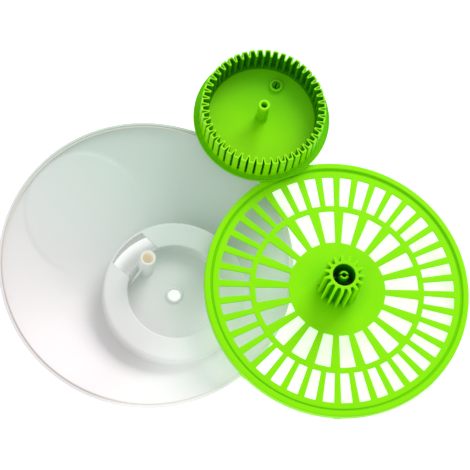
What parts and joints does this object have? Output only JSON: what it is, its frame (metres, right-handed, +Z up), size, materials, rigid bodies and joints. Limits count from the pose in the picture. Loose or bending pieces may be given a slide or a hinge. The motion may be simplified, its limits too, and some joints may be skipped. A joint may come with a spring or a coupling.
{
  "type": "salad spinner",
  "caption": "Hand-cranked salad spinner laid out in pieces: domed lid with a gear well, slotted drive plate with pinion, crank wheel with ring gear, and a bowl with its basket.",
  "frame": {"origin": "centre of the laid-out pieces' bounding box, on the table", "axes": "+Z up from the table, +Y from the lid towards the bowl, +X from the lid towards the drive plate"},
  "size_m": [0.413, 0.6372, 0.125],
  "materials": {
    "white_plastic": "semi-gloss injection-moulded white polypropylene",
    "green_plastic": "satin injection-moulded green polypropylene",
    "lime_plastic": "satin injection-moulded lime-green polypropylene",
    "clear_plastic": "clear moulded styrene acrylonitrile",
    "white_cap": "matt white acetal",
    "grey_elastomer": "soft thermoplastic elastomer",
    "steel": "turned stainless steel"
  },
  "bodies": {
    "bowl": {"bowl": "clear_plastic", "foot_ring": "grey_elastomer", "bowl_pivot": "steel"},
    "basket": {"basket": "lime_plastic", "basket_bush": "white_cap"},
    "lid": {"lid": "white_plastic"},
    "drive_plate": {"drive_plate": "lime_plastic", "pinion": "lime_plastic", "snap_pin": "lime_plastic"},
    "crank_wheel": {"crank_wheel": "green_plastic"},
    "knob": {"knob": "green_plastic", "knob_cap": "white_cap", "knob_stem": "green_plastic"}
  },
  "joints": [
    {"name": "basket_spin", "type": "hinge", "parent": "bowl", "child": "basket", "pos_m": [-0.07679, 0.19009, 0.01], "axis": [0, 0, 1], "continuous": true},
    {"name": "lid_lift", "type": "slide", "parent": "bowl", "child": "lid", "axis": [0, 0, 1], "range_m": [0, 0.15]},
    {"name": "wheel_spin", "type": "hinge", "parent": "lid", "child": "crank_wheel", "pos_m": [0.0242, -0.04516, 0.04455], "axis": [-0.079, 0.02, -0.9967], "continuous": true},
    {"name": "knob_spin", "type": "hinge", "parent": "crank_wheel", "child": "knob", "pos_m": [0.03689, -0.01473, 0.04195], "axis": [-0.079, 0.02, -0.9967], "continuous": true},
    {"name": "plate_spin", "type": "hinge", "parent": "lid", "child": "drive_plate", "pos_m": [0.09021, -0.20137, 0.02719], "axis": [0.133, -0.03, 0.9907], "continuous": true}
  ],
  "couplings": [
    {"joint": "plate_spin", "follows": "wheel_spin", "ratio": 3.2},
    {"joint": "basket_spin", "follows": "wheel_spin", "ratio": 3.2}
  ]
}
